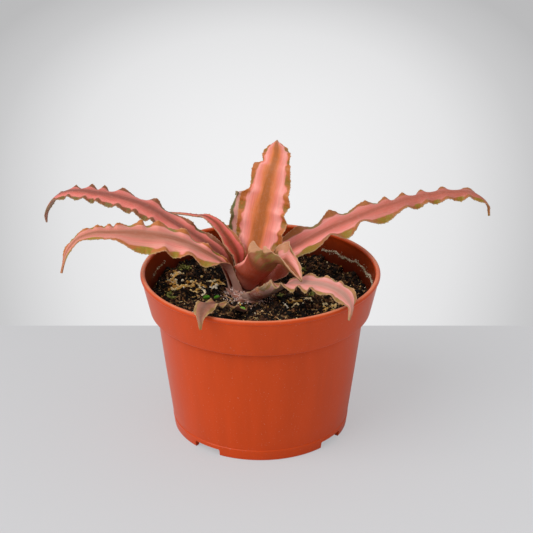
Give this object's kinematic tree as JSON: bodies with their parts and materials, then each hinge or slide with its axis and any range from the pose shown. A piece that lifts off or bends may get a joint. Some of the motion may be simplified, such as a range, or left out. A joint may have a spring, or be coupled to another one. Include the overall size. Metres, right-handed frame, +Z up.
{
  "type": "potted earth star plant",
  "caption": "Low rosette of narrow, wavy-edged pink and olive leaves on a short stem, rooted in potting soil in a tapered plastic nursery pot with a collar, notched foot and drainage holes",
  "frame": {"origin": "middle of the pot's foot, on the surface that the pot stands on", "axes": "+Z up along the pot's axis; -Y is the side with the two low leaves; +X towards the long right leaf"},
  "size_m": [0.2199, 0.119, 0.1322],
  "materials": {
    "pot_plastic": "satin",
    "potting_soil": "matte",
    "stem_tissue": "matte",
    "leaf_pink": "satin",
    "leaf_old": "satin"
  },
  "bodies": {
    "root": {"pot": "pot_plastic", "soil": "potting_soil", "stem": "stem_tissue", "leaf_right": "leaf_pink", "leaf_far_left": "leaf_pink", "leaf_near_left": "leaf_pink", "leaf_inner_left": "leaf_pink", "leaf_upright": "leaf_pink", "leaf_back": "leaf_pink", "leaf_front": "leaf_pink", "leaf_low_right": "leaf_pink", "leaf_low_left": "leaf_old", "leaf_heart_right": "leaf_pink", "leaf_heart_left": "leaf_pink"}
  },
  "joints": []
}
